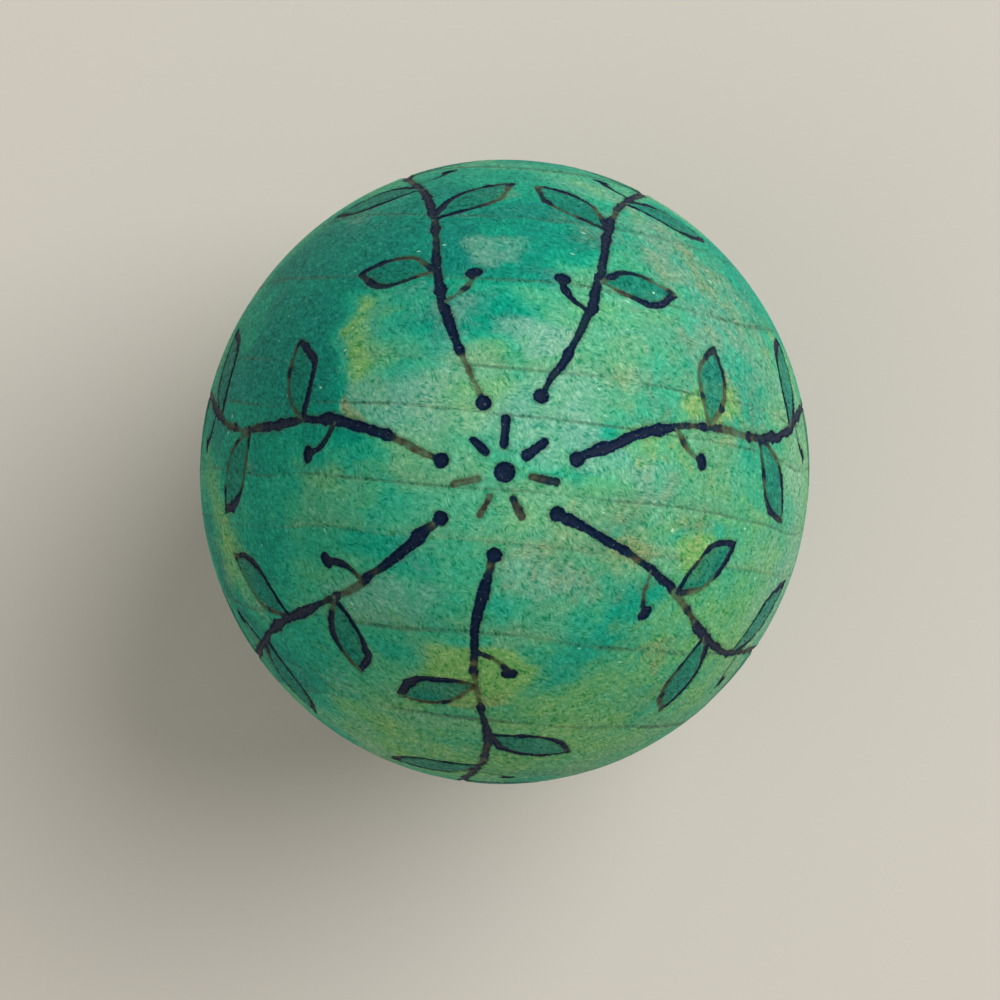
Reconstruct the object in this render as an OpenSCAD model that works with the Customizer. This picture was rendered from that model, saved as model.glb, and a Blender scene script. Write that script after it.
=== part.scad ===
// A turned wooden egg that stands on a small flat at its blunt end, in millimetres.
// Burnt lines and dots are cut into the wood: leafy stems that hang from the narrow end.
// The origin is the middle of the flat, +Z is the turning axis, and X runs along the growth rings.

/* [Egg] */
// Width of the egg along the growth rings
egg_width = 44; // [42:0.5:50]
// Height of the egg from its flat to its narrow end
egg_height = 63; // [58:0.5:72]
// Width of the flat that it stands on
flat_width = 14.8; // [10:0.2:18]
// Width across the growth rings for each millimetre of width along them, as the wood has dried
across_rings = 1.025; // [1:0.005:1.04]
// How much smaller the radius of the blunt end is than half the egg's width
blunt_taper = 3; // [2.5:0.25:3.5]

/* [Burnt drawing] */
// Number of stems round the egg
stem_count = 7; // [5:1:7]
// Width of a burnt line where it meets the surface
line_width = 0.6; // [0.5:0.02:0.9]
// Depth of a burnt line
line_depth = 0.2; // [0.15:0.05:0.35]
// Width of the dot at the head of a stem
dot_width = 1.15; // [1:0.05:1.5]

/* [Hidden] */
$fn = 96;

radius = egg_width / 2;
// How far the flat lies below the centre of the blunt end's arc
flat_depth = sqrt(pow(radius - blunt_taper, 2) - pow(flat_width / 2, 2));
// The widest ring above the flat, in whole hundredths so that the arcs still meet when numbers are rounded
widest_height = round(100 * (flat_depth + 3 * blunt_taper)) / 100;
narrow_taper = (egg_height - widest_height - radius) / 2;

// The drawing, in millimetres along and across a stem
stem_start = 4.4;
start_spread = 0.6;         // how much sooner or later a stem may start
stem_end = 49;
stem_sway = 0.65;           // how far a stem swings to each side
sway_turn = 13;             // degrees of that swing for each millimetre of stem
stem_spread = 5;            // degrees that a stem may stray from an even spacing
hand = 137;                 // sets how one stem differs from the next
leaf_places = [15.5, 22.5, 29.5, 36.5, 43.5];
leaf_lengths = [6.5, 7.6, 8.2, 8.2, 7.6];
leaf_slant = 47;
leaf_bows = [-0.16, 0.23];  // how far its two edges swell, for each millimetre of its length
end_leaf = 6.5;
berry_places = [12, 31.5];
berry_stalk = 3.2;
berry_width = 1.3;
rosette_width = 1.4;
rosette_petal = [1.6, 2.9];
petal_spread = 4;           // degrees that a petal may stray from an even spacing
line_step = 2.2;            // spacing of the sections of a cutter
line_lift = 0.15;           // how far a cutter stands above the wood

// Each half of the outline is a side arc that runs into an end arc. Their centres are 4 tapers beyond the
// axis and 3 tapers along it, the short sides of a 3-4-5 triangle, so they share a tangent at this lean.
join_lean = atan2(4, 3);
end_run = (radius - narrow_taper) * join_lean * PI / 180;
widest_run = end_run + (radius + 4 * narrow_taper) * (90 - join_lean) * PI / 180;

// The arc that passes a point this far down the wood from the narrow end:
// its centre's distance and height, its radius, and the lean and the run at which it starts
function arc_at(run) =
    run < end_run ? [0, widest_height + 3 * narrow_taper, radius - narrow_taper, 0, 0]
    : run < widest_run ? [-4 * narrow_taper, widest_height, radius + 4 * narrow_taper, join_lean, end_run]
    : [-4 * blunt_taper, widest_height, radius + 4 * blunt_taper, 90, widest_run];

// A point [run, distance across] of the drawing round a heading, at a height above the wood
function on_egg(point, heading, lift) =
    let (
        arc = arc_at(point[0]),
        lean = arc[3] + (point[0] - arc[4]) / arc[2] * 180 / PI,
        wood = arc[0] + arc[2] * sin(lean),
        turn = heading + point[1] / wood * 180 / PI,
        reach = wood + lift * sin(lean)
    )
    [reach * cos(turn), reach * sin(turn) * across_rings, arc[1] + (arc[2] + lift) * cos(lean)];

function across(from, to) =
    let (way = to - from)
    [-way[1], way[0]] / norm(way);

// The section of a line's cutter at one point of its path: two corners above the wood and the V's bottom
function section(path, i, heading) =
    let (
        edge = line_width / 2 * (1 + line_lift / line_depth)
            * across(path[max(i - 1, 0)], path[min(i + 1, len(path) - 1)])
    )
    [
        on_egg(path[i] + edge, heading, line_lift),
        on_egg(path[i] - edge, heading, line_lift),
        on_egg(path[i], heading, -line_depth)
    ];

module burnt_line(path, heading) {
    last = 3 * (len(path) - 1);
    polyhedron(
        points = [for (i = [0 : len(path) - 1]) each section(path, i, heading)],
        faces = [
            [0, 1, 2],
            [last + 2, last + 1, last],
            for (i = [0 : 3 : last - 3], k = [0 : 2])
                let (next = (k + 1) % 3)
                each [[i + k, i + 3 + k, i + 3 + next], [i + k, i + 3 + next, i + next]]
        ]
    );
}

module burnt_dot(point, heading, width) {
    ball = width * 0.6;
    translate(on_egg(point, heading, sqrt(ball * ball - width * width / 4)))
        sphere(ball, $fn = 24);
}

function start_of(i) = stem_start + start_spread * sin(97 * i);
function sway(i) = stem_sway * (1 + 0.4 * sin(hand * i + 60)) * (i % 2 == 0 ? 1 : -1);
function stem_point(run, i) = [run, sway(i) * sin(sway_turn * (run - stem_start))];

// A curve from a foot, swollen to one side by its bow
function curve(foot, length, slant, bow, steps) =
    [for (k = [0 : steps])
        let (u = k / steps)
        foot + length * (u * [cos(slant), sin(slant)] + bow * sin(180 * u) * [-sin(slant), cos(slant)])];

module leaf(foot, length, slant, heading) {
    for (bow = leaf_bows)
        burnt_line(curve(foot, length, slant, bow * sign(slant + 0.1), 6), heading);
}

module berry(foot, side, heading) {
    stalk = curve(foot, berry_stalk, side * leaf_slant, side * 0.15, 3);
    burnt_line(stalk, heading);
    burnt_dot(stalk[3], heading, berry_width);
}

module stem(i) {
    heading = 360 / stem_count * (i + 0.3) + stem_spread * sin(hand * i);
    first_side = i % 2 == 0 ? 1 : -1;
    burnt_line([for (run = [start_of(i) : line_step : stem_end]) stem_point(run, i)], heading);
    burnt_dot(stem_point(start_of(i), i), heading, dot_width);
    for (k = [0 : len(leaf_places) - 1]) {
        side = k % 2 == 0 ? first_side : -first_side;
        leaf(stem_point(leaf_places[k], i), leaf_lengths[k], side * leaf_slant, heading);
    }
    for (place = berry_places) berry(stem_point(place, i), -first_side, heading);
    leaf(stem_point(stem_end - 1, i), end_leaf, 0, heading);
}

module rosette() {
    burnt_dot([0.01, 0], 0, rosette_width);
    for (i = [0 : stem_count - 1]) {
        stray = sin(hand * i);
        petal_end = rosette_petal[1] + 0.25 * stray;
        heading = 360 / stem_count * (i + 0.8) + petal_spread * stray;
        burnt_line([[rosette_petal[0], 0], [petal_end, 0]], heading);
    }
}

// Half of the outline, above the widest ring (way 1) or below it (way -1)
module half_outline(taper, way) {
    end_radius = radius - taper;
    join_height = 3 * taper + 0.6 * end_radius;
    translate([0, widest_height]) scale([1, way]) {
        intersection() {
            translate([-4 * taper, 0]) circle(radius + 4 * taper);
            square([egg_width, join_height]);
        }
        intersection() {
            translate([0, 3 * taper]) circle(end_radius);
            translate([0, join_height]) square([egg_width, end_radius]);
        }
    }
}

// Four turned quarters, each widened across the growth rings, with the flat cut off level
module turned_body() {
    difference() {
        for (quarter = [0 : 3])
            scale([1, across_rings, 1]) rotate(90 * quarter) rotate_extrude(angle = 90) {
                half_outline(narrow_taper, 1);
                half_outline(blunt_taper, -1);
            }
        translate([-egg_width, -egg_width, -egg_width]) cube([2 * egg_width, 2 * egg_width, egg_width]);
    }
}

module egg() {
    color("seagreen") difference() {
        turned_body();
        rosette();
        for (i = [0 : stem_count - 1]) stem(i);
    }
}

egg();
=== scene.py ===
import math

import bpy
import numpy as np
from mathutils import Matrix, Vector
from mathutils.kdtree import KDTree


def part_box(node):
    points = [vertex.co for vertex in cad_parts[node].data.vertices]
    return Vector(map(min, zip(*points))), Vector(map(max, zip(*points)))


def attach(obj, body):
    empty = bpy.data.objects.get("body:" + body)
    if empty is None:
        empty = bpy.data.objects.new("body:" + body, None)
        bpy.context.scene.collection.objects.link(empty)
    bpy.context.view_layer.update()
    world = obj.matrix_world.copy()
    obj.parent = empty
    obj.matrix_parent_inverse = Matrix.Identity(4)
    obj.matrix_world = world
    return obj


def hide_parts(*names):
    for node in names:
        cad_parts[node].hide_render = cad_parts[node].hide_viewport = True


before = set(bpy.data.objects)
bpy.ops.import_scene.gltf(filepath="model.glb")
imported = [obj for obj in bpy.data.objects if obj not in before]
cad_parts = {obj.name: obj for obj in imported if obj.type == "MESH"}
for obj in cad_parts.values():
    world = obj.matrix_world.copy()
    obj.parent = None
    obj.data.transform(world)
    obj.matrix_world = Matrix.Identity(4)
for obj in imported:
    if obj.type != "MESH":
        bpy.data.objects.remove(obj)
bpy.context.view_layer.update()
mm = 0.001


shape = {
    "flatWidth": 14.8,          # mm
    "bluntTaper": 3.0,          # how much smaller the blunt end's radius is than half the width
    "waviness": 0.018,          # what the turning tool and the sandpaper left, mm
    "waveSeed": 7,
    "waveSizes": (9.0, 6.5, 5.0, 3.6),
    "calmFoot": 3.0,            # mm above the flat over which the waviness starts
}

low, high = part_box("egg")
width = (high.x - low.x) / mm
acrossRings = (high.y - low.y) / (high.x - low.x)      # the wood dried a little narrower along its rings
height = round((high.z - low.z) / mm, 1)
radius = width / 2
bluntRadius = radius - shape["bluntTaper"]
widestHeight = round(math.sqrt(bluntRadius ** 2 - (shape["flatWidth"] / 2) ** 2) + 3 * shape["bluntTaper"], 2)
narrowTaper = (height - widestHeight - radius) / 2


def smoothStep(x, start, end):
    t = np.clip((x - start) / (end - start), 0, 1)
    return t * t * (3 - 2 * t)


def meridianArcs():
    # the outline's four arcs from the narrow end down: where each one's centre lies, its radius,
    # its lean at both ends and the run at its start
    joinLean = math.atan2(4, 3)
    widest, up, down = widestHeight, narrowTaper, shape["bluntTaper"]
    flatLean = math.acos((3 * down - widest) / (radius - down))
    arcs = []
    run = 0
    for centre, level, size, start, end in (
        (0, widest + 3 * up, radius - up, 0, joinLean),
        (-4 * up, widest, radius + 4 * up, joinLean, math.pi / 2),
        (-4 * down, widest, radius + 4 * down, math.pi / 2, math.pi - joinLean),
        (0, widest - 3 * down, radius - down, math.pi - joinLean, flatLean),
    ):
        arcs.append({"centre": centre, "level": level, "size": size, "start": start, "end": end, "run": run})
        run += size * (end - start)
    return arcs, run


arcs, flatRun = meridianArcs()
flatReach = arcs[-1]["size"] * math.sin(arcs[-1]["end"])


def onMeridian(run):
    # distance from the axis, height and lean of the wood at an arc length below the narrow end
    run = np.asarray(run, float)
    starts = np.array([arc["run"] for arc in arcs])
    which = np.clip(np.searchsorted(starts, run, side="right") - 1, 0, len(arcs) - 1)
    pick = {key: np.array([arc[key] for arc in arcs])[which] for key in arcs[0]}
    lean = pick["start"] + (run - pick["run"]) / pick["size"]
    reach = pick["centre"] + pick["size"] * np.sin(lean)
    return reach, pick["level"] + pick["size"] * np.cos(lean), lean


def onEgg(run, across, heading, lift=0.0):
    # a point of the drawing: run down the wood and distance across, round a heading in radians
    reach, level, lean = onMeridian(run)
    turn = heading + np.asarray(across) / reach
    out = reach + lift * np.sin(lean)
    return np.stack([out * np.cos(turn), out * np.sin(turn) * acrossRings, level + lift * np.cos(lean)], -1)


def settle(points):
    # moves points that lie near the wood onto it, and gives their run and azimuth
    x, y, z = points[:, 0], points[:, 1] / acrossRings, points[:, 2]
    turn = np.arctan2(y, x)
    reach = np.hypot(x, y)
    onFlat = z < 1e-4
    run = np.full(len(points), flatRun)
    for arc in arcs:
        lean = np.arctan2(reach - arc["centre"], z - arc["level"])
        inside = (lean >= arc["start"] - 1e-9) & (lean <= arc["end"] + 1e-9) & ~onFlat
        run[inside] = arc["run"] + (lean[inside] - arc["start"]) * arc["size"]
    out, level, lean = onMeridian(run)
    out = np.where(onFlat, reach, out)
    level = np.where(onFlat, 0, level)
    lean = np.where(onFlat & (reach < flatReach - 1e-6), math.pi, lean)
    place = np.stack([out * np.cos(turn), out * np.sin(turn) * acrossRings, level], 1)
    sideways = np.sin(lean)
    normal = np.stack([sideways * np.cos(turn), sideways * np.sin(turn) / acrossRings, np.cos(lean)], 1)
    return place, normal / np.linalg.norm(normal, axis=1, keepdims=True), run, turn


print("shape: %.1f x %.1f x %.1f mm, %.1f mm from the narrow end to the flat" %
      (width, width * acrossRings, height, flatRun))


drawing = {
    "seed": 41, "sampleStep": 0.07,
    "stems": 7, "firstTurn": 0.3, "turnSpread": 5.0,       # turns in degrees
    "start": 4.4, "startSpread": 0.6, "end": 49.0,
    "sway": 0.65, "swaySpread": 0.4, "swayTurn": 13.0, "hand": 137.0,
    "leafPlaces": [15.5, 22.5, 29.5, 36.5, 43.5],
    "leafLengths": [6.5, 7.6, 8.2, 8.2, 7.6],
    "leafSlant": 47.0, "leafBows": (-0.16, 0.23), "endLeaf": 6.5,
    "berryPlaces": [12.0, 31.5], "berryStalk": 3.2, "berryWidth": 1.15,
    "rosetteWidth": 1.3, "rosettePetal": (1.6, 2.9), "petalSpread": 4.0,
    "lineWidth": 0.52, "dotWidth": 1.0,
    "lineDepth": 0.10, "dotDepth": 0.16, "lip": 0.02,      # mm; the pen pushes up a low lip beside its line
    # the pen's share of the line width, and how much hotter it is, for each kind of stroke
    "pens": {"stem": (1.04, 0.1), "leaf": (0.9, 0.0), "stalk": (0.85, -0.1), "petal": (1.0, 0.15)},
    "tremble": 0.085, "trembleSize": 1.3,
    "widthSpread": 0.32, "swells": ((0.6, 2.1), (0.4, 0.55)),      # weight and size (mm) of each swell
    "heat": 0.55, "heatRange": 0.68, "heatSize": 3.0,
    "heatSpread": 0.45, "evenHeat": 0.6,                   # the heat at which a line has its own width
    "blobSwell": 0.50, "blobEvery": 4.6, "blobStray": 1.2, "blobLength": 0.38,
}
rng = np.random.default_rng(drawing["seed"])


def sine(degrees):
    return math.sin(math.radians(degrees))


def sway(i):
    side = 1 if i % 2 == 0 else -1
    return drawing["sway"] * (1 + drawing["swaySpread"] * sine(drawing["hand"] * i + 60)) * side


def stemPoint(run, i):
    return np.array([run, sway(i) * sine(drawing["swayTurn"] * (run - drawing["start"]))])


def stemStart(i):
    return drawing["start"] + drawing["startSpread"] * sine(97 * i)


def curve(foot, length, slant, bow, steps=24):
    u = np.linspace(0, 1, steps + 1)[:, None]
    slant = math.radians(slant)
    along = np.array([math.cos(slant), math.sin(slant)])
    side = np.array([-math.sin(slant), math.cos(slant)])
    return foot + length * (u * along + bow * np.sin(np.pi * u) * side)


def slowNoise(at, step):
    # a smooth random walk along a line, from -1 to 1
    knots = rng.uniform(-1, 1, int(at[-1] / step) + 2)
    whole = np.floor(at / step).astype(int)
    part = smoothStep(at / step - whole, 0, 1)
    return knots[whole] * (1 - part) + knots[whole + 1] * part


def strokeSamples(path, heading, pen):
    # close-set points along a stroke, with the half width and the heat of the pen at each
    share, bold = drawing["pens"][pen]
    lineWidth = drawing["lineWidth"] * share
    steps = np.r_[0, np.cumsum(np.linalg.norm(np.diff(path, axis=0), axis=1))]
    length = steps[-1]
    count = max(int(length / drawing["sampleStep"]), 4)
    at = np.linspace(0, length, count)
    line = np.stack([np.interp(at, steps, path[:, k]) for k in (0, 1)], 1)
    way = np.gradient(line, axis=0)
    way /= np.linalg.norm(way, axis=1, keepdims=True)
    tremble = slowNoise(at, drawing["trembleSize"])[:, None] * drawing["tremble"]
    line = line + tremble * np.stack([-way[:, 1], way[:, 0]], 1)
    swell = sum(weight * slowNoise(at, size) for weight, size in drawing["swells"])
    heat = np.clip(drawing["heat"] + bold + drawing["heatRange"] * slowNoise(at, drawing["heatSize"]), 0, 1)
    half = lineWidth / 2 * (1 + drawing["widthSpread"] * swell
                            + drawing["heatSpread"] * (heat - drawing["evenHeat"]))
    blobs = np.arange(rng.uniform(1, drawing["blobEvery"]), length, drawing["blobEvery"])
    for place in blobs + rng.uniform(-drawing["blobStray"], drawing["blobStray"], len(blobs)):
        near = np.exp(-((at - place) / drawing["blobLength"]) ** 2)
        half += lineWidth / 2 * drawing["blobSwell"] * rng.uniform(0.5, 1.3) * near
        heat = np.clip(heat + 0.5 * near, 0, 1)
    return onEgg(line[:, 0], line[:, 1], heading), half, heat


def drawStrokes():
    lines, dots, leaves = [], [], []
    for i in range(drawing["stems"]):
        heading = math.radians(360 / drawing["stems"] * (i + drawing["firstTurn"])
                               + drawing["turnSpread"] * sine(drawing["hand"] * i))
        firstSide = 1 if i % 2 == 0 else -1
        stem = np.array([stemPoint(run, i) for run in np.arange(stemStart(i), drawing["end"], 0.2)])
        lines.append(strokeSamples(stem, heading, "stem"))
        dots.append((onEgg(*stemPoint(stemStart(i), i), heading), drawing["dotWidth"] / 2))
        places = list(zip(drawing["leafPlaces"], drawing["leafLengths"]))
        hung = [(stemPoint(place, i), size, firstSide * (1 if k % 2 == 0 else -1) * drawing["leafSlant"])
                for k, (place, size) in enumerate(places)]
        hung.append((stemPoint(drawing["end"] - 1, i), drawing["endLeaf"], 0.0))
        for foot, length, slant in hung:
            side = 1 if slant > -0.05 else -1
            for bow in drawing["leafBows"]:
                lines.append(strokeSamples(curve(foot, length, slant, bow * side), heading, "leaf"))
            leaves.append({"foot": foot, "length": length, "slant": math.radians(slant), "heading": heading,
                           "bows": sorted(bow * side for bow in drawing["leafBows"])})
        for place in drawing["berryPlaces"]:
            stalk = curve(stemPoint(place, i), drawing["berryStalk"], -firstSide * drawing["leafSlant"],
                          -firstSide * 0.15, 8)
            lines.append(strokeSamples(stalk, heading, "stalk"))
            dots.append((onEgg(*stalk[-1], heading), drawing["berryWidth"] / 2))
    dots.append((onEgg(0.01, 0, 0), drawing["rosetteWidth"] / 2))
    for i in range(drawing["stems"]):
        turned = sine(drawing["hand"] * i)
        heading = math.radians(360 / drawing["stems"] * (i + 0.8) + drawing["petalSpread"] * turned)
        inner, outer = drawing["rosettePetal"]
        petal = np.array([[run, 0.0] for run in np.linspace(inner, outer + 0.25 * turned, 8)])
        lines.append(strokeSamples(petal, heading, "petal"))
    return lines, dots, leaves


def treeOf(points):
    tree = KDTree(len(points))
    for i, point in enumerate(points):
        tree.insert(point, i)
    tree.balance()
    return tree


lines, dots, leaves = drawStrokes()
linePoints = np.concatenate([line[0] for line in lines])
lineHalf = np.concatenate([line[1] for line in lines])
lineHeat = np.concatenate([line[2] for line in lines])
lineTree = treeOf(linePoints)
dotPoints = np.array([dot[0] for dot in dots])
dotHalf = np.array([dot[1] for dot in dots])
dotTree = treeOf(dotPoints)
print("drawing: %d strokes, %d dots, %d leaves, %.0f mm of line" %
      (len(lines), len(dots), len(leaves), len(linePoints) * drawing["sampleStep"]))


def nearestBurn(points):
    # signed distance to the nearest line's edge, the line's half width and heat there,
    # and signed distance to the nearest dot's edge
    edge = np.empty(len(points))
    half = np.empty(len(points))
    heat = np.empty(len(points))
    dotEdge = np.empty(len(points))
    for i, point in enumerate(points):
        index, distance = lineTree.find(point)[1:]
        edge[i], half[i], heat[i] = distance - lineHalf[index], lineHalf[index], lineHeat[index]
        index, distance = dotTree.find(point)[1:]
        dotEdge[i] = distance - dotHalf[index]
    return edge, half, heat, dotEdge


mesh = {
    "coarse": 0.72,             # mm between points on plain wood
    "levels": [0.95, 0.46],     # each pass halves the triangles that lie this near a burnt edge, mm
}


def ringStack(step):
    # rings of points from the narrow end to the middle of the flat, stitched into even triangles
    rows = [np.array([[0.0, 0.0, height]])]
    runs = np.linspace(0, flatRun, int(flatRun / step) + 1)[1:]
    profile = [tuple(float(v) for v in onMeridian(run)[:2]) for run in runs[:-1]] + [(flatReach, 0.0)]
    profile += [(flatReach * (1 - k / 10), 0.0) for k in range(1, 10)]
    for k, (reach, level) in enumerate(profile):
        count = max(6, round(2 * math.pi * reach / step))
        turn = (np.arange(count) + 0.5 * (k % 2)) * 2 * math.pi / count
        row = (reach * np.cos(turn), reach * np.sin(turn) * acrossRings, np.full(count, level))
        rows.append(np.stack(row, 1))
    rows.append(np.array([[0.0, 0.0, 0.0]]))
    points = np.concatenate(rows)
    starts = np.r_[0, np.cumsum([len(row) for row in rows])]
    triangles = []
    for k in range(len(rows) - 1):
        a, b = starts[k], starts[k + 1]
        n, m = len(rows[k]), len(rows[k + 1])
        if n == 1:
            triangles += [(a, b + j, b + (j + 1) % m) for j in range(m)]
            continue
        if m == 1:
            triangles += [(a + j, b, a + (j + 1) % n) for j in range(n)]
            continue
        i = j = 0
        shiftA, shiftB = 0.5 * ((k - 1) % 2), 0.5 * (k % 2)
        while i < n or j < m:
            if j >= m or (i < n and (i + 1 + shiftA) / n <= (j + 1 + shiftB) / m):
                triangles.append((a + i % n, b + j % m, a + (i + 1) % n))
                i += 1
            else:
                triangles.append((a + i % n, b + j % m, b + (j + 1) % m))
                j += 1
    return points, np.array(triangles)


def refine(points, triangles, marked):
    # splits the marked triangles in four and their neighbours in two, so that no edge is left half split
    edges = np.concatenate([triangles[:, pair] for pair in ([0, 1], [1, 2], [2, 0])])
    edges, place = np.unique(np.sort(edges, axis=1), axis=0, return_inverse=True)
    sides = place.reshape(3, -1).T
    split = np.zeros(len(edges), bool)
    split[sides[marked]] = True
    while True:
        full = split[sides].sum(1) == 2
        if not full.any():
            break
        split[sides[full]] = True
    middle = np.full(len(edges), -1)
    middle[split] = len(points) + np.arange(split.sum())
    points = np.concatenate([points, points[edges[split]].mean(1)])
    count = split[sides].sum(1)
    kept = triangles[count == 0]
    four, fourSides = triangles[count == 3], middle[sides[count == 3]]
    a, b, c = four.T
    ab, bc, ca = fourSides.T
    fours = np.concatenate([np.stack(t, 1) for t in ((a, ab, ca), (ab, b, bc), (ca, bc, c), (ab, bc, ca))])
    two, twoSides = triangles[count == 1], middle[sides[count == 1]]
    first = twoSides.argmax(1)                      # only the split side has a middle
    rows = np.arange(len(two))
    a, b, c = two[rows, first], two[rows, (first + 1) % 3], two[rows, (first + 2) % 3]
    halfway = twoSides[rows, first]
    twos = np.concatenate([np.stack((a, halfway, c), 1), np.stack((halfway, b, c), 1)])
    return points, np.concatenate([kept, fours, twos])


def leafFill(run, turn):
    # 1 inside a leaf's outline, falling to 0 under its burnt edge
    fill = np.zeros(len(run))
    reach = onMeridian(run)[0]
    for leaf in leaves:
        swing = (turn - leaf["heading"] + math.pi) % (2 * math.pi) - math.pi
        along = run - leaf["foot"][0]
        near = (np.abs(along) < 10) & (np.abs(swing) * reach < 12)
        dx, dy = along[near], (swing * reach)[near] - leaf["foot"][1]
        u = (dx * math.cos(leaf["slant"]) + dy * math.sin(leaf["slant"])) / leaf["length"]
        v = -dx * math.sin(leaf["slant"]) + dy * math.cos(leaf["slant"])
        arch = np.where((u > 0) & (u < 1), np.sin(np.pi * np.clip(u, 0, 1)), 0) * leaf["length"]
        gap = np.minimum(v - leaf["bows"][0] * arch, leaf["bows"][1] * arch - v)
        gap = np.where((u > 0) & (u < 1), gap, -1)
        fill[near] = np.maximum(fill[near], np.clip(gap / 0.35 + 0.3, 0, 1))
    return fill


def burnRelief(edge, half, dotEdge):
    # depth of the pen's channel below the wood, with the low lip beside it
    inside = np.clip(-edge / half, 0, 1)
    channel = -drawing["lineDepth"] * np.sqrt(np.clip(1 - (1 - inside) ** 2, 0, 1)) * (0.75 + 0.25 * inside)
    insideDot = np.clip(-dotEdge / 0.6, 0, 1)
    pit = -drawing["dotDepth"] * np.sqrt(np.clip(1 - (1 - insideDot) ** 2, 0, 1))
    outer = np.minimum(edge, dotEdge)
    lip = drawing["lip"] * smoothStep(outer, -0.02, 0.08) * (1 - smoothStep(outer, 0.1, 0.42))
    return np.minimum(channel, pit) + lip


# dabs of dye seen from above, one pale one painted sheen: place, half size (mm) and strength
dabs = {
    "deep": [(-7.6, 14.2, 4.0, 3.6, 1.0), (-0.9, 12.5, 2.8, 1.5, 0.8), (-3.4, 8.8, 3.2, 2.0, 0.8),
             (-13.9, 6.2, 3.8, 4.6, 1.0), (-10.7, 1.5, 1.6, 1.2, 0.7), (-13.9, -6.5, 3.2, 2.8, 0.3),
             (-7.1, -5.1, 3.4, 1.2, 0.4), (-7.8, -11.6, 3.2, 2.0, 0.2), (6.9, -2.8, 1.1, 1.1, 0.6),
             (12.5, -2.6, 1.9, 1.1, 0.45), (8.2, -7.6, 1.8, 2.6, 0.4), (16.4, 6.0, 1.0, 4.2, 0.5),
             (0.3, -15.0, 4.6, 1.0, 0.45), (9.0, 9.5, 5.0, 4.0, 0.15), (5.5, 2.8, 1.8, 1.2, 0.4),
             (-12.0, -1.0, 6.5, 3.2, 0.1), (2.0, 15.8, 5.5, 2.2, 0.8), (6.0, -13.5, 4.0, 4.0, 0.3),
             (-16.5, -2.0, 3.0, 5.0, 0.3)],
    "pale": [(6.4, 11.4, 4.8, 2.8, 0.25), (3.9, 6.4, 3.6, 3.0, 0.45), (-2.8, 4.6, 2.3, 2.4, 0.8),
             (-4.5, 0.3, 3.2, 2.0, 0.6), (2.4, -2.0, 2.6, 1.8, 0.35), (9.5, -4.6, 2.0, 1.6, 0.5),
             (12.5, 9.5, 3.0, 3.5, 0.1), (13.0, 1.5, 3.0, 2.5, 0.25), (-9.6, 7.4, 1.6, 3.2, 0.7),
             # the pale dab at (18.5, 0.0) is painted sheen, lightening the east rim on the side the key light
             # falls on
             (-0.6, -12.2, 3.6, 1.9, 0.4), (18.5, 0.0, 1.8, 8.0, 0.6), (2.6, -9.6, 2.2, 1.6, 0.4)],
    "lime": [(-9.5, 7.3, 0.8, 3.1, 0.65), (-8.0, 5.4, 1.6, 1.8, 0.4), (12.1, 5.2, 1.6, 1.3, 0.7),
             (12.3, -4.2, 1.5, 1.1, 0.8), (-0.6, -12.2, 3.6, 1.8, 1.0), (-15.4, -12.4, 2.6, 3.4, 0.7),
             (-5.0, 19.0, 5.0, 1.2, 0.7), (9.0, 2.4, 2.0, 1.5, 0.45), (-0.5, -3.5, 5.0, 4.0, 0.32),
             (18.2, -6.0, 1.5, 4.0, 0.5), (-18.9, 2.0, 1.1, 4.0, 0.5)],
    "sage": [(-6.8, 3.2, 3.4, 2.4, 0.6), (9.0, 8.5, 4.0, 3.5, 0.25), (6.9, 1.0, 2.4, 1.4, 0.7),
             (2.4, 3.4, 3.8, 2.8, 0.65), (-9.5, -5.5, 5.0, 4.0, 0.15), (-2.4, 13.9, 2.2, 1.0, 0.55),
             (0.9, 7.9, 2.6, 0.9, 0.8), (-6.5, -8.2, 3.6, 1.1, 0.45), (3.6, -6.0, 2.4, 2.0, 0.6),
             (9.0, -0.6, 1.6, 1.2, 0.5), (-0.8, -4.0, 5.0, 4.5, 0.35), (-7.0, 7.0, 5.0, 4.0, 0.3)],
    "stain": [(-9.5, 2.6, 0.7, 0.9, 0.8), (11.7, -1.4, 1.0, 0.6, 0.5), (10.4, -10.6, 1.7, 0.9, 0.5),
              (13.0, 4.2, 0.5, 0.5, 0.8), (-0.8, -13.9, 3.0, 0.5, 0.6), (8.6, -3.6, 1.2, 0.6, 0.5)],
}
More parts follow.
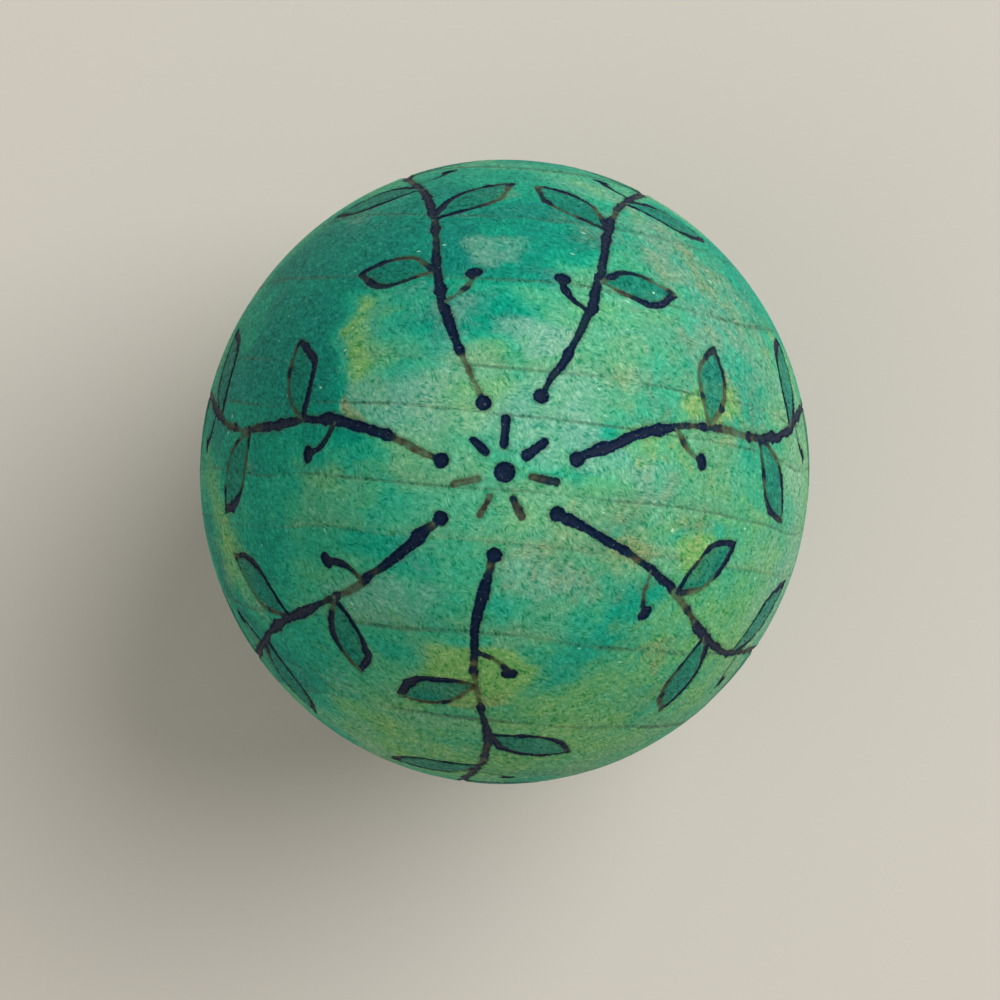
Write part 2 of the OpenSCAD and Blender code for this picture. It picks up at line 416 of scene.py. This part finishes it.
# broad washes on the sides, a few pale ones painted light: turn from +X (degrees), run down the wood, half
# size (mm) and strength
washes = {
    "deep": [(140.0, 24.0, 9.0, 10.0, 0.95), (148.0, 29.0, 9.0, 6.0, 0.7), (108.0, 26.0, 6.0, 6.0, 0.5),
             (42.0, 36.0, 8.0, 6.0, 0.35), (180.0, 27.0, 6.0, 9.0, 0.45), (-140.0, 24.0, 7.0, 6.0, 0.2),
             (38.0, 26.0, 9.0, 8.0, 0.45)],
    # the pale washes at -135 and -90 degrees are partly paler dye and partly painted fill light, lightening
    # the south-west and south sides that face away from the key light
    "pale": [(-135.0, 16.0, 9.0, 6.0, 0.25), (-90.0, 19.0, 9.0, 4.0, 0.35),
             # the pale wash at 0 degrees is painted sheen on the east rim, where the key light falls
             (0.0, 31.0, 13.0, 6.0, 0.75)],
    "lime": [(-5.0, 25.0, 10.0, 14.0, 0.35), (-50.0, 26.0, 9.0, 12.0, 0.5),
             (-92.0, 25.0, 10.0, 10.0, 0.5), (-140.0, 30.0, 6.0, 8.0, 0.2)],
    "sage": [(80.0, 12.0, 7.0, 5.0, 0.3), (20.0, 22.0, 7.0, 8.0, 0.25), (-10.0, 33.0, 14.0, 5.0, 0.6),
             (50.0, 25.0, 8.0, 6.0, 0.5)],
    "stain": [(-45.0, 7.0, 5.0, 4.5, 0.45), (15.0, 13.0, 9.0, 6.0, 0.45), (42.0, 25.0, 12.0, 8.0, 0.45)],
}
softness = {"dabs": 0.30, "washes": 0.50}        # share of a patch's half size over which its edge fades
roundness = 2.6                                  # 2 is an ellipse, and more is squarer
stray = {                 # how far the edges of the patches wander, mm, with a seed and sizes for each way
    "reach": 1.5, "onTop": 0.7,
    "across": (11, (6.0, 4.1, 2.9)), "down": (12, (6.3, 4.4, 3.1)),
}
seededDabs = {            # on the wood that faces sideways and down
    "seed": 119, "count": 240, "topRun": 20.0,
    "halfSize": (1.3, 3.0), "stainSize": 0.5, "stretch": (1.2, 2.6),
    "lean": (-1.4, 1.4), "spread": (0.6, 1.4),
    "strengths": {"deep": 0.62, "pale": 0.45, "lime": 0.30, "sage": 0.34, "stain": 0.40},
}


def softWaves(points, seed, sizes):
    # a few seeded waves laid over each other, about -1 to 1
    waves = np.random.default_rng(seed)
    out = np.zeros(len(points))
    for size in sizes:
        way = waves.normal(size=3)
        way *= 2 * math.pi / size / np.linalg.norm(way)
        out += np.sin(points @ way + waves.uniform(0, 2 * math.pi)) * size / max(sizes)
    return out / 2.2


def softPatch(dx, dy, halfX, halfY, soft):
    # 1 in the middle, 0.5 on the outline of a rounded oblong, 0 outside
    off = (np.abs(dx / halfX) ** roundness + np.abs(dy / halfY) ** roundness) ** (1 / roundness)
    return 1 - smoothStep(off, 1 - soft, 1 + soft)


def dyeAmounts(place, run, turn):
    # how much of each kind of dye the wood took at each point; the pale amount also holds painted sheen and
    # painted fill light
    amounts = {kind: np.zeros(len(place)) for kind in dabs}
    strayX = stray["reach"] * softWaves(place, *stray["across"])
    strayY = stray["reach"] * softWaves(place, *stray["down"])

    def lay(kind, patch, strength):
        amounts[kind] = 1 - (1 - amounts[kind]) * (1 - patch * strength)

    onTop = 1 - smoothStep(run, seededDabs["topRun"] + 1, seededDabs["topRun"] + 4)
    for kind, patches in dabs.items():
        for x, y, halfX, halfY, strength in patches:
            dx = place[:, 0] - x + stray["onTop"] * strayX
            dy = place[:, 1] - y + stray["onTop"] * strayY
            patch = softPatch(dx, dy, halfX, halfY, softness["dabs"])
            lay(kind, patch * onTop, strength)
    reach = np.maximum(np.hypot(place[:, 0], place[:, 1] / acrossRings), 1.0)

    def sidePatch(heading, spot, halfX, halfY, lean=0.0):
        dx = ((turn - heading + math.pi) % (2 * math.pi) - math.pi) * reach + strayX
        dy = run - spot + strayY
        return softPatch(dx * math.cos(lean) + dy * math.sin(lean), dy * math.cos(lean) - dx * math.sin(lean),
                         halfX, halfY, softness["washes"])

    for kind, patches in washes.items():
        for degrees, spot, halfX, halfY, strength in patches:
            lay(kind, sidePatch(math.radians(degrees), spot, halfX, halfY), strength)
    draw = np.random.default_rng(seededDabs["seed"])
    onSide = smoothStep(run, seededDabs["topRun"], seededDabs["topRun"] + 3)
    kinds = sorted(seededDabs["strengths"])
    for i in range(seededDabs["count"]):
        kind = kinds[i % len(kinds)]
        spot = draw.uniform(seededDabs["topRun"], flatRun + 4)
        heading = draw.uniform(-math.pi, math.pi)
        half = draw.uniform(*seededDabs["halfSize"]) * (seededDabs["stainSize"] if kind == "stain" else 1.0)
        stretch = draw.uniform(*seededDabs["stretch"])
        lean = draw.uniform(*seededDabs["lean"])
        strength = seededDabs["strengths"][kind] * draw.uniform(*seededDabs["spread"])
        lay(kind, sidePatch(heading, spot, half, half * stretch, lean) * onSide, strength)
    # pale patches, some of them painted sheen and painted fill light, take away from the depth
    return {"dyeDepthWithPaintedLight": amounts["deep"] - amounts["pale"], "dyeWarm": amounts["lime"],
            "dyeGrey": amounts["sage"], "dyeStain": amounts["stain"]}


def buildEgg():
    points, triangles = ringStack(mesh["coarse"])
    for reach in mesh["levels"]:
        edge, half, heat, dotEdge = nearestBurn(points)
        close = np.minimum(edge, dotEdge) < reach
        points, triangles = refine(points, triangles, close[triangles].any(1))
        points = settle(points)[0]
    place, normal, run, turn = settle(points)
    edge, half, heat, dotEdge = nearestBurn(place)
    fromFlat = smoothStep(place[:, 2], 0.0, shape["calmFoot"])
    waves = shape["waviness"] * softWaves(place, shape["waveSeed"], shape["waveSizes"]) * fromFlat
    relief = burnRelief(edge, half, dotEdge) + waves
    place = place + normal * relief[:, None]
    data = bpy.data.meshes.new("woodenEgg")
    data.from_pydata((place * mm).tolist(), [], triangles.tolist())
    data.update()
    data.shade_smooth()
    dotHeat = smoothStep(-dotEdge, -0.3, 0.2)
    fields = {
        "burnEdge": np.clip(np.minimum(edge, dotEdge), -1, 2),
        "burnHeat": np.maximum(heat, dotHeat),
        "leafFill": leafFill(run, turn),
    }
    for kind, amount in dyeAmounts(place, run, turn).items():
        fields[kind] = amount
    for name, values in fields.items():
        data.attributes.new(name, "FLOAT", "POINT").data.foreach_set("value", values.astype(np.float32))
    egg = bpy.data.objects.new("woodenEgg", data)
    bpy.context.scene.collection.objects.link(egg)
    print("mesh: %d points, %d triangles" % (len(place), len(triangles)))
    return egg, fields["burnEdge"], triangles


egg, burnEdge, eggTriangles = buildEgg()


def hexColour(code):
    # a linear colour from the usual six-digit form
    parts = [int(code[i:i + 2], 16) / 255 for i in (0, 2, 4)]
    return tuple(v / 12.92 if v < 0.04045 else ((v + 0.055) / 1.055) ** 2.4 for v in parts) + (1.0,)


def feed(tree, socket, value):
    if isinstance(value, bpy.types.NodeSocket):
        tree.links.new(value, socket)
    else:
        socket.default_value = value


def addNode(tree, kind, sockets=None, **settings):
    node = tree.nodes.new("ShaderNode" + kind)
    for name, value in settings.items():
        setattr(node, name, value)
    for name, value in (sockets or {}).items():
        feed(tree, node.inputs[name], value)
    return node


def calc(tree, operation, *values):
    return addNode(tree, "Math", dict(enumerate(values)), operation=operation).outputs[0]


def vectorCalc(tree, operation, *values):
    return addNode(tree, "VectorMath", dict(enumerate(values)), operation=operation).outputs[0]


def remap(tree, value, fromMin, fromMax, toMin=0.0, toMax=1.0, smooth=True):
    return addNode(tree, "MapRange", {"Value": value, "From Min": fromMin, "From Max": fromMax,
                                      "To Min": toMin, "To Max": toMax},
                   interpolation_type="SMOOTHSTEP" if smooth else "LINEAR").outputs[0]


def mix(tree, kind, amount, first, second):
    sockets = {"Factor": amount, "A": first, "B": second}
    return addNode(tree, "Mix", sockets, data_type=kind).outputs["Result"]


def blend(tree, amount, first, second):
    return mix(tree, "RGBA", amount, first, second)


def mixValue(tree, amount, first, second):
    return mix(tree, "FLOAT", amount, first, second)


def noise(tree, place, scale, detail=2.0, roughness=0.5, output=0):
    return addNode(tree, "TexNoise", {"Vector": place, "Scale": scale, "Detail": detail,
                                      "Roughness": roughness}).outputs[output]


def field(tree, name):
    # a value that the mesh carries at its points
    return addNode(tree, "Attribute", attribute_name=name).outputs["Fac"]


def woodPlace(tree):
    # the place in the wood in millimetres, so that grain runs through the egg as it does in a solid block
    spot = addNode(tree, "TexCoord").outputs["Object"]
    return addNode(tree, "VectorMath", {0: spot, "Scale": 1 / mm}, operation="SCALE").outputs[0]


def newGroup(name, inputs, outputs):
    group = bpy.data.node_groups.new(name, "ShaderNodeTree")
    for label, (kind, value) in inputs.items():
        socket = group.interface.new_socket(label, in_out="INPUT", socket_type="NodeSocket" + kind)
        socket.default_value = value
    for label, kind in outputs.items():
        group.interface.new_socket(label, in_out="OUTPUT", socket_type="NodeSocket" + kind)
    return group, group.nodes.new("NodeGroupInput").outputs, group.nodes.new("NodeGroupOutput").inputs


def useGroup(tree, group, sockets):
    node = addNode(tree, "Group", node_tree=group)
    for name, value in sockets.items():
        feed(tree, node.inputs[name], value)
    return node.outputs


rings = {
    "pith": 210.0,                                  # mm from the egg's axis to the middle of the tree
    "places": [-20.5, -15.6, -9.8, -4.1, -1.0, 3.4, 6.2, 11.9, 16.3, 20.5],    # mm from the egg's axis
    "reach": 26.0,
    "wobble": 0.95, "wobbleSize": 16.0,
    "lineWidth": 0.19, "lateWidth": 1.3, "paleWidth": 1.5,
}


def buildGrowthRings():
    # the tree's yearly rings: a thin dark line, with darker wood outside it and paler wood inside it
    tree, given, result = newGroup(
        "growthRings", {"Line Width": ("Float", rings["lineWidth"])},
        {"Line": "Float", "Late": "Float", "Pale": "Float", "Year": "Float"})
    place = woodPlace(tree)
    sway = calc(tree, "SUBTRACT", noise(tree, place, 1 / rings["wobbleSize"], 1.0), 0.5)
    parts = addNode(tree, "SeparateXYZ", {0: place}).outputs
    out = calc(tree, "ADD", parts["Y"], rings["pith"])
    fromPith = calc(tree, "SQRT", calc(tree, "ADD", calc(tree, "MULTIPLY", parts["X"], parts["X"]),
                                       calc(tree, "MULTIPLY", out, out)))
    across = calc(tree, "ADD", calc(tree, "SUBTRACT", fromPith, rings["pith"]),
                  calc(tree, "MULTIPLY", sway, 2 * rings["wobble"]))
    # a curve turns the uneven ring places into whole numbers
    count = len(rings["places"]) + 1
    stops = [(0.0, 0.0)] + [(0.5 + spot / (2 * rings["reach"]), (k + 1) / count)
                            for k, spot in enumerate(rings["places"])] + [(1.0, 1.0)]
    curveNode = addNode(tree, "FloatCurve",
                        {"Value": remap(tree, across, -rings["reach"], rings["reach"], smooth=False)})
    line = curveNode.mapping.curves[0]
    for spot, level in stops[1:-1]:
        line.points.new(spot, level)
    for point in line.points:
        point.handle_type = "VECTOR"
    curveNode.mapping.update()
    year = calc(tree, "MULTIPLY", curveNode.outputs[0], float(count))
    nearest = calc(tree, "ROUND", year)
    spacing = 2 * rings["reach"] / count
    fromLine = calc(tree, "MULTIPLY", calc(tree, "SUBTRACT", year, nearest), spacing)      # about mm
    stretched = vectorCalc(tree, "MULTIPLY", place, (0.16, 0.9, 0.16))
    broken = remap(tree, noise(tree, stretched, 1.0, 3.0, 0.6), 0.32, 0.58)
    thin = calc(tree, "DIVIDE", calc(tree, "ABSOLUTE", fromLine), given["Line Width"])
    faint = addNode(tree, "TexWhiteNoise", {"W": nearest}, noise_dimensions="1D").outputs["Value"]
    shown = calc(tree, "MULTIPLY", broken, calc(tree, "MULTIPLY_ADD", faint, 0.55, 0.45))
    tree.links.new(calc(tree, "MULTIPLY", remap(tree, thin, 1.0, 0.25), shown), result["Line"])
    outside = calc(tree, "GREATER_THAN", fromLine, 0.0)
    late = calc(tree, "MULTIPLY", remap(tree, fromLine, rings["lateWidth"], 0.0), outside)
    pale = calc(tree, "MULTIPLY", remap(tree, fromLine, -rings["paleWidth"], 0.0),
                calc(tree, "SUBTRACT", 1.0, outside))
    tree.links.new(late, result["Late"])
    tree.links.new(pale, result["Pale"])
    band = calc(tree, "FLOOR", year)
    own = addNode(tree, "TexWhiteNoise", {"W": band}, noise_dimensions="1D").outputs["Value"]
    tree.links.new(own, result["Year"])
    return tree


fibre = {
    "turns": (-58.0, -14.0), "turnSize": 1.3,              # two leans of the flecks from the rings, degrees
    "length": 0.30, "width": 0.15, "upright": 1.5,        # size of a fleck, mm; long grain runs up the sides
    "bend": 0.5, "bendSize": 5.0,                          # how far a row of flecks strays, mm
    "curl": 0.11, "curlSize": 0.6,                         # and how far one fleck curls
    "coarseSize": 0.45, "coarseShare": 0.30,               # rounder grains among the flecks
    "gain": (0.80, 0.23, 0.22), "tint": (0.008, 0.052, 0.043),     # how a fleck lights red, green and blue
    "paintedGlintSize": 0.42, "paintedGlint": "b4e6c8",              # painted glints: pale specks that stand in for small highlights on the wood
}


def buildFibreGrain():
    # short flecks of sanded end grain on top that turn into upright fibres on the sides, with painted glints
    # among them
    tree, given, result = newGroup(
        "fibreGrain",
        {"Colour": ("Color", (0.5, 0.5, 0.5, 1)), "Strength": ("Float", 1.0), "Painted Glint": ("Float", 1.0),
         "Gain": ("Vector", fibre["gain"]), "Tint": ("Vector", fibre["tint"])},
        {"Colour": "Color", "Fleck": "Float"})
    place = woodPlace(tree)
    bend = noise(tree, place, 1 / fibre["bendSize"], 1.0, output="Color")
    bent = vectorCalc(tree, "MULTIPLY_ADD", bend, (2 * fibre["bend"],) * 3, place)
    curl = noise(tree, place, 1 / fibre["curlSize"], 1.0, output="Color")
    bent = vectorCalc(tree, "MULTIPLY_ADD", curl, (4 * fibre["curl"],) * 3, bent)
    layers = []
    for turn in fibre["turns"]:
        turned = addNode(tree, "VectorRotate", {"Vector": bent, "Angle": math.radians(-turn)},
                         rotation_type="Z_AXIS").outputs[0]
        flecks = vectorCalc(tree, "DIVIDE", turned, (fibre["length"], fibre["width"], fibre["upright"]))
        layers.append(noise(tree, flecks, 1.0, 2.0, 0.65))
    swap = remap(tree, noise(tree, place, 1 / fibre["turnSize"], 1.0), 0.42, 0.58)
    fine = mixValue(tree, swap, *layers)
    coarse = noise(tree, place, 1 / fibre["coarseSize"], 2.0, 0.5)
    both = mixValue(tree, fibre["coarseShare"], fine, coarse)
    even = remap(tree, both, 0.38, 0.62, -1.0, 1.0, smooth=False)
    # most of the wood stays near its middle tone, and few flecks stand out
    fleck = calc(tree, "MULTIPLY", even, calc(tree, "MULTIPLY_ADD", calc(tree, "ABSOLUTE", even), 0.6, 0.4))
    tree.links.new(fleck, result["Fleck"])
    amount = calc(tree, "MULTIPLY", fleck, given["Strength"])
    gain = vectorCalc(tree, "MULTIPLY_ADD", amount, given["Gain"], (1.0, 1.0, 1.0))
    lit = vectorCalc(tree, "MULTIPLY", given["Colour"], gain)
    tint = addNode(tree, "VectorMath", {0: given["Tint"], "Scale": amount}, operation="SCALE").outputs[0]
    grained = vectorCalc(tree, "MAXIMUM", vectorCalc(tree, "ADD", lit, tint), (0.0, 0.0, 0.0))
    # painted glints: pale specks that stand in for small highlights on the wood
    slim = vectorCalc(tree, "MULTIPLY", turned, (0.6, 1.3, 1.0))
    spots = addNode(tree, "TexVoronoi", {"Vector": slim, "Scale": 1 / fibre["paintedGlintSize"]})
    chance = addNode(tree, "SeparateXYZ", {0: spots.outputs["Color"]}).outputs[0]
    chosen = remap(tree, chance, 0.975, 1.0, 0.0, 0.8)
    core = remap(tree, spots.outputs["Distance"], 0.34, 0.10)
    paintedGlint = calc(tree, "MULTIPLY", calc(tree, "MULTIPLY", core, chosen), given["Painted Glint"])
    tree.links.new(blend(tree, paintedGlint, grained, hexColour(fibre["paintedGlint"])), result["Colour"])
    return tree


dyes = {
    # from the palest dab to the deepest
    "ramp": [(0.0, "70ab82"), (0.24, "5ba27a"), (0.46, "35a07b"), (0.62, "18997b"),
             (0.80, "009075"), (1.0, "007d6d")],
    "lime": "76ab5c", "sage": "79a893", "stain": "7f8758", "leaf": "00705f", "ringLine": "385a48",
    "cloudSize": 2.6, "mottleSize": 0.8, "grassSize": 2.0,
    # how much each of these changes the depth of the dye
    "depthShares": {"cloud": 1.2, "mottle": 0.38, "inYear": 0.12, "fleck": 0.05, "perYear": 0.30},
    "patches": {"dyeGrey": ("sage", 0.7), "dyeWarm": ("lime", 0.85), "dyeStain": ("stain", 0.7)},
    "grass": 0.34, "lateStain": 0.25, "lineStrength": 0.68, "leafStrength": (0.6, 0.92),
    "edgeMottle": 0.4, "edgeCloud": 0.9,
}


def buildDyeWash():
    # dabs of dye that ran into each other, lightened in places by painted sheen and painted fill light: the
    # mesh carries how deep, warm, grey and stained it is
    tree, given, result = newGroup(
        "dyeWash",
        {"Fleck": ("Float", 0.0), "Line": ("Float", 0.0), "Late": ("Float", 0.0), "Pale": ("Float", 0.0),
         "Year": ("Float", 0.5)},
        {"Colour": "Color"})
    place = woodPlace(tree)
    cloud = calc(tree, "SUBTRACT", noise(tree, place, 1 / dyes["cloudSize"], 3.0, 0.6), 0.5)
    mottle = calc(tree, "SUBTRACT", noise(tree, place, 1 / dyes["mottleSize"], 2.0, 0.5), 0.5)
    # dye depth, lowered where painted sheen lightens the east rim and painted fill light lightens the shaded
    # sides
    depth = field(tree, "dyeDepthWithPaintedLight")
    inYear = calc(tree, "SUBTRACT", given["Late"], given["Pale"])
    perYear = calc(tree, "SUBTRACT", given["Year"], 0.5)
    parts = {"cloud": cloud, "mottle": mottle, "inYear": inYear, "fleck": given["Fleck"], "perYear": perYear}
    for name, part in parts.items():
        depth = calc(tree, "MULTIPLY_ADD", part, dyes["depthShares"][name], depth)
    ramp = addNode(tree, "ValToRGB", {"Fac": remap(tree, depth, -1.0, 1.0, smooth=False)})
    stops = ramp.color_ramp.elements
    for k, (spot, code) in enumerate(dyes["ramp"]):
        stop = stops[k] if k < 2 else stops.new(spot)
        stop.position = spot
        stop.color = hexColour(code)
    # the dye takes a yellower tone along some rings, and a browner one in their dark wood
    along = vectorCalc(tree, "MULTIPLY", place, (0.4, 1.0, 0.4))
    grass = remap(tree, noise(tree, along, 1 / dyes["grassSize"], 3.0, 0.6), 0.48, 0.72, 0.0, dyes["grass"])
    shallow = remap(tree, depth, 0.45, -0.1, 0.05, 1.0)
    yellow = calc(tree, "MULTIPLY", grass, shallow)
    colour = blend(tree, yellow, ramp.outputs["Color"], hexColour(dyes["lime"]))
    late = calc(tree, "MULTIPLY", calc(tree, "MULTIPLY", given["Late"], dyes["lateStain"]), shallow)
    colour = blend(tree, late, colour, hexColour(dyes["stain"]))
    edge = calc(tree, "MULTIPLY_ADD", mottle, dyes["edgeMottle"],
                calc(tree, "MULTIPLY", cloud, dyes["edgeCloud"]))
    for kind, (name, strength) in dyes["patches"].items():
        amount = field(tree, kind)
        mask = calc(tree, "MULTIPLY", remap(tree, calc(tree, "ADD", amount, edge), 0.2, 0.95, 0.0, strength),
                    remap(tree, amount, 0.0, 0.2))
        colour = blend(tree, mask, colour, hexColour(dyes[name]))
    ringLine = calc(tree, "MULTIPLY", given["Line"], dyes["lineStrength"])
    colour = blend(tree, ringLine, colour, hexColour(dyes["ringLine"]))
    strength = remap(tree, cloud, -0.3, 0.1, *dyes["leafStrength"])
    filled = calc(tree, "MULTIPLY", field(tree, "leafFill"), strength)
    tree.links.new(blend(tree, filled, colour, hexColour(dyes["leaf"])), result["Colour"])
    return tree


burn = {
    "hot": "031730", "dark": "0e2a33", "cool": "43382a",
    # the grey specks are partly ash and partly painted glints on the char
    "halo": "3f5c3c", "bluish": "1d3d6b", "ashAndGlint": "5c6670",
    "coolStrength": 0.62, "bluishStrength": 0.55, "ashAndGlintStrength": 0.6, "haloStrength": (0.1, 0.55),
    "wander": 0.22, "crumbSize": 0.27, "patchSize": 0.8, "sparkSize": 0.18,
}


def buildBurnMark():
    # char where the pen went: blue-black where it stayed hot, brown and thin where it had cooled, with grey
    # specks that are partly ash and partly painted glints
    tree, given, result = newGroup(
        "burnMark",
        {"Wood": ("Color", (0.1, 0.3, 0.2, 1)), "Edge Wander": ("Float", burn["wander"])},
        {"Colour": "Color", "Char": "Float", "Relief": "Float"})
    place = woodPlace(tree)
    crumbs = noise(tree, place, 1 / burn["crumbSize"], 3.0, 0.6)
    patches = noise(tree, place, 1 / burn["patchSize"], 2.0, 0.5)
    edge = calc(tree, "ADD", field(tree, "burnEdge"),
                calc(tree, "MULTIPLY", calc(tree, "SUBTRACT", crumbs, 0.5), given["Edge Wander"]))
    heat = calc(tree, "ADD", field(tree, "burnHeat"), calc(tree, "SUBTRACT", patches, 0.5))
    char = remap(tree, edge, 0.035, -0.05)
    thin = remap(tree, heat, 0.05, 0.42, burn["coolStrength"], 1.0)
    colour = blend(tree, remap(tree, heat, 0.22, 0.52), hexColour(burn["cool"]), hexColour(burn["dark"]))
    colour = blend(tree, remap(tree, heat, 0.45, 0.80), colour, hexColour(burn["hot"]))
    bluish = remap(tree, crumbs, 0.60, 0.74, 0.0, burn["bluishStrength"])
    colour = blend(tree, bluish, colour, hexColour(burn["bluish"]))
    # grey specks: partly ash, partly painted glints that stand in for small highlights on the char
    sparks = noise(tree, place, 1 / burn["sparkSize"], 1.0, 0.5)
    ashAndGlint = remap(tree, sparks, 0.66, 0.78, 0.0, burn["ashAndGlintStrength"])
    colour = blend(tree, ashAndGlint, colour, hexColour(burn["ashAndGlint"]))
    uneven = remap(tree, patches, 0.35, 0.65, *burn["haloStrength"])
    halo = calc(tree, "MULTIPLY", remap(tree, edge, 0.24, 0.0), uneven)
    wood = blend(tree, halo, given["Wood"], hexColour(burn["halo"]))
    covered = calc(tree, "MULTIPLY", char, thin)
    tree.links.new(blend(tree, covered, wood, colour), result["Colour"])
    tree.links.new(covered, result["Char"])
    tree.links.new(calc(tree, "MULTIPLY", char, crumbs), result["Relief"])
    return tree


growthRings = buildGrowthRings()
fibreGrain = buildFibreGrain()
dyeWash = buildDyeWash()
burnMark = buildBurnMark()

finish = {
    "woodRoughness": (0.52, 0.66),      # in the flecks' bright and dark parts
    "charRoughness": 0.62,
    "woodShine": 0.04, "charShine": 0.12,
    "sheen": 0.02, "sheenRoughness": 0.35,
    "fleckHeight": 0.006, "crumbHeight": 0.035,            # mm
    "woodFlecks": 1.0, "charFlecks": 0.6,
    "charStart": -0.1,                  # a face this far inside a burnt edge is all char, mm
}


def eggMaterial(name, fleckStrength, shine):
    material = bpy.data.materials.new(name)
    material.use_nodes = True
    tree = material.node_tree
    shader = tree.nodes["Principled BSDF"]
    ring = useGroup(tree, growthRings, {"Line Width": rings["lineWidth"]})
    plain = useGroup(tree, fibreGrain, {"Strength": 0.0, "Painted Glint": 0.0})
    dyed = useGroup(tree, dyeWash, {"Fleck": plain["Fleck"], "Line": ring["Line"], "Late": ring["Late"],
                                    "Pale": ring["Pale"], "Year": ring["Year"]})
    # this grain also lays the painted glints, with its glint input left at 1
    grained = useGroup(tree, fibreGrain, {"Colour": dyed["Colour"], "Strength": fleckStrength})
    burnt = useGroup(tree, burnMark, {"Wood": grained["Colour"]})
    tree.links.new(burnt["Colour"], shader.inputs["Base Color"])
    woodRough = remap(tree, grained["Fleck"], 1.0, -1.0, *finish["woodRoughness"], smooth=False)
    rough = mixValue(tree, burnt["Char"], woodRough, finish["charRoughness"])
    tree.links.new(rough, shader.inputs["Roughness"])
    shader.inputs["Specular IOR Level"].default_value = shine
    shader.inputs["Sheen Weight"].default_value = finish["sheen"]
    shader.inputs["Sheen Roughness"].default_value = finish["sheenRoughness"]
    relief = calc(tree, "ADD", calc(tree, "MULTIPLY", grained["Fleck"], finish["fleckHeight"]),
                  calc(tree, "MULTIPLY", burnt["Relief"], finish["crumbHeight"]))
    bump = addNode(tree, "Bump", {"Height": relief, "Strength": 1.0, "Distance": mm})
    tree.links.new(bump.outputs[0], shader.inputs["Normal"])
    return material


egg.data.materials.append(eggMaterial("dyedWood", finish["woodFlecks"], finish["woodShine"]))
egg.data.materials.append(eggMaterial("burntWood", finish["charFlecks"], finish["charShine"]))
deepInBurn = (burnEdge[eggTriangles] < finish["charStart"]).all(1)
egg.data.polygons.foreach_set("material_index", deepInBurn.astype(np.int32))
print("materials: %d of %d faces lie inside the burnt lines" % (deepInBurn.sum(), len(deepInBurn)))

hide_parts("egg")
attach(egg, "root")


stage = {
    "floorReach": 1.5,
    "floorColour": (0.56, 0.525, 0.47, 1),
    "floorRoughness": 0.9,
}
bpy.ops.mesh.primitive_circle_add(vertices=96, radius=stage["floorReach"], fill_type="NGON")
floor = bpy.context.object
floor.name = "floor"
floorPaint = bpy.data.materials.new("floorPaint")
floorPaint.use_nodes = True
floorShader = floorPaint.node_tree.nodes["Principled BSDF"]
floorShader.inputs["Base Color"].default_value = stage["floorColour"]
floorShader.inputs["Roughness"].default_value = stage["floorRoughness"]
floor.data.materials.append(floorPaint)

lights = {
    "key": {"place": (0.45, 0.39, 0.66), "size": 0.75, "power": 8.05, "colour": (0.99, 0.99, 1.0)},
    "fill": {"place": (-0.33, -0.22, 0.45), "size": 0.6, "power": 0.50, "colour": (1.0, 0.97, 0.93)},
}
lightsAim = Vector((0, 0, 0.03))
for name, light in lights.items():
    lamp = bpy.data.lights.new(name, "AREA")
    lamp.shape = "DISK"
    lamp.size = light["size"]
    lamp.energy = light["power"]
    lamp.color = light["colour"]
    holder = bpy.data.objects.new(name, lamp)
    holder.location = light["place"]
    holder.rotation_euler = (lightsAim - Vector(light["place"])).to_track_quat("-Z", "Y").to_euler()
    bpy.context.scene.collection.objects.link(holder)

room = {"colour": (1.0, 0.965, 0.905, 1), "strength": 0.405}
world = bpy.data.worlds.new("studio")
bpy.context.scene.world = world
world.use_nodes = True
background = world.node_tree.nodes["Background"]
background.inputs["Color"].default_value = room["colour"]
background.inputs["Strength"].default_value = room["strength"]
print("stage: floor, %d lights and the room's own light" % len(lights))

view = {
    "distance": 0.180,                  # from the lens to the widest ring, m
    "outlineCentre": (504.5, 472.2),    # where the egg's outline sits in the picture, pixels
    "outlineHalfWidth": 304.5,          # its half width along the growth rings, pixels
    "roll": math.atan2(0.0989, 0.995),  # how far the growth rings lean in the picture, radians
    "pictureSize": 1000,
}


def buildCamera():
    top = widestHeight + view["distance"] / mm
    reach, level = onMeridian(np.linspace(0, flatRun, 4000))[:2]
    widestSlope = (reach / (top - level)).max()
    focal = view["outlineHalfWidth"] / widestSlope
    half = view["pictureSize"] / 2
    towards = Vector((view["outlineCentre"][0] - half, half - view["outlineCentre"][1], -focal))
    aim = towards.rotation_difference(Vector((0, 0, -1))).to_matrix()
    roll = Matrix.Rotation(view["roll"], 3, "Z")
    data = bpy.data.cameras.new("camera")
    data.sensor_width = 36
    data.lens = focal / view["pictureSize"] * data.sensor_width
    data.clip_start = 0.005
    camera = bpy.data.objects.new("camera", data)
    camera.matrix_world = Matrix.Translation((0, 0, top * mm)) @ (roll @ aim).to_4x4()
    bpy.context.scene.collection.objects.link(camera)
    bpy.context.scene.camera = camera
    print("camera: %.0f mm lens, %.0f mm above the floor" % (data.lens, top))


buildCamera()
bpy.context.scene.view_settings.view_transform = "Standard"
